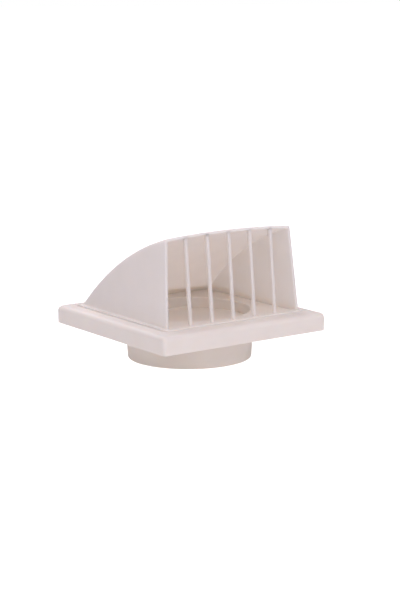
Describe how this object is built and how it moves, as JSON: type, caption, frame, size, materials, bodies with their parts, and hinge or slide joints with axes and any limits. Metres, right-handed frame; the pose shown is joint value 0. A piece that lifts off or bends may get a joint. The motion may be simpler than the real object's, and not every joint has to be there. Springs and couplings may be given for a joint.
{
  "type": "hooded wall vent",
  "caption": "Square wall vent with a hooded, barred mouth, a round duct spigot behind it and a gravity-closed non-return flap.",
  "frame": {"origin": "on the spigot axis, in the plane of the flange's rear rim, which lies on the wall", "axes": "+Z out of the wall, through the hood; -Y towards the hood's mouth; X along the mouth"},
  "size_m": [0.15, 0.15, 0.1053],
  "materials": {
    "hood_plastic": "semi-matt moulded",
    "plate_plastic": "semi-matt moulded",
    "spigot_plastic": "semi-matt moulded",
    "flap_plastic": "satin moulded",
    "pin_steel": "drawn wire",
    "screw_steel": "plated"
  },
  "bodies": {
    "housing": {"cowl_hood": "hood_plastic", "grille_bar_1": "hood_plastic", "grille_bar_2": "hood_plastic", "grille_bar_3": "hood_plastic", "grille_bar_4": "hood_plastic", "grille_bar_5": "hood_plastic", "flange_plate": "plate_plastic", "spigot": "spigot_plastic", "hinge_pin": "pin_steel", "clamp_screws": "screw_steel"},
    "shutter": {"flap": "flap_plastic"}
  },
  "joints": [
    {"name": "flap_hinge", "type": "hinge", "parent": "housing", "child": "shutter", "pos_m": [0, 0.038, 0.0053], "axis": [-1, 0, 0], "range_deg": [0, 47]}
  ]
}
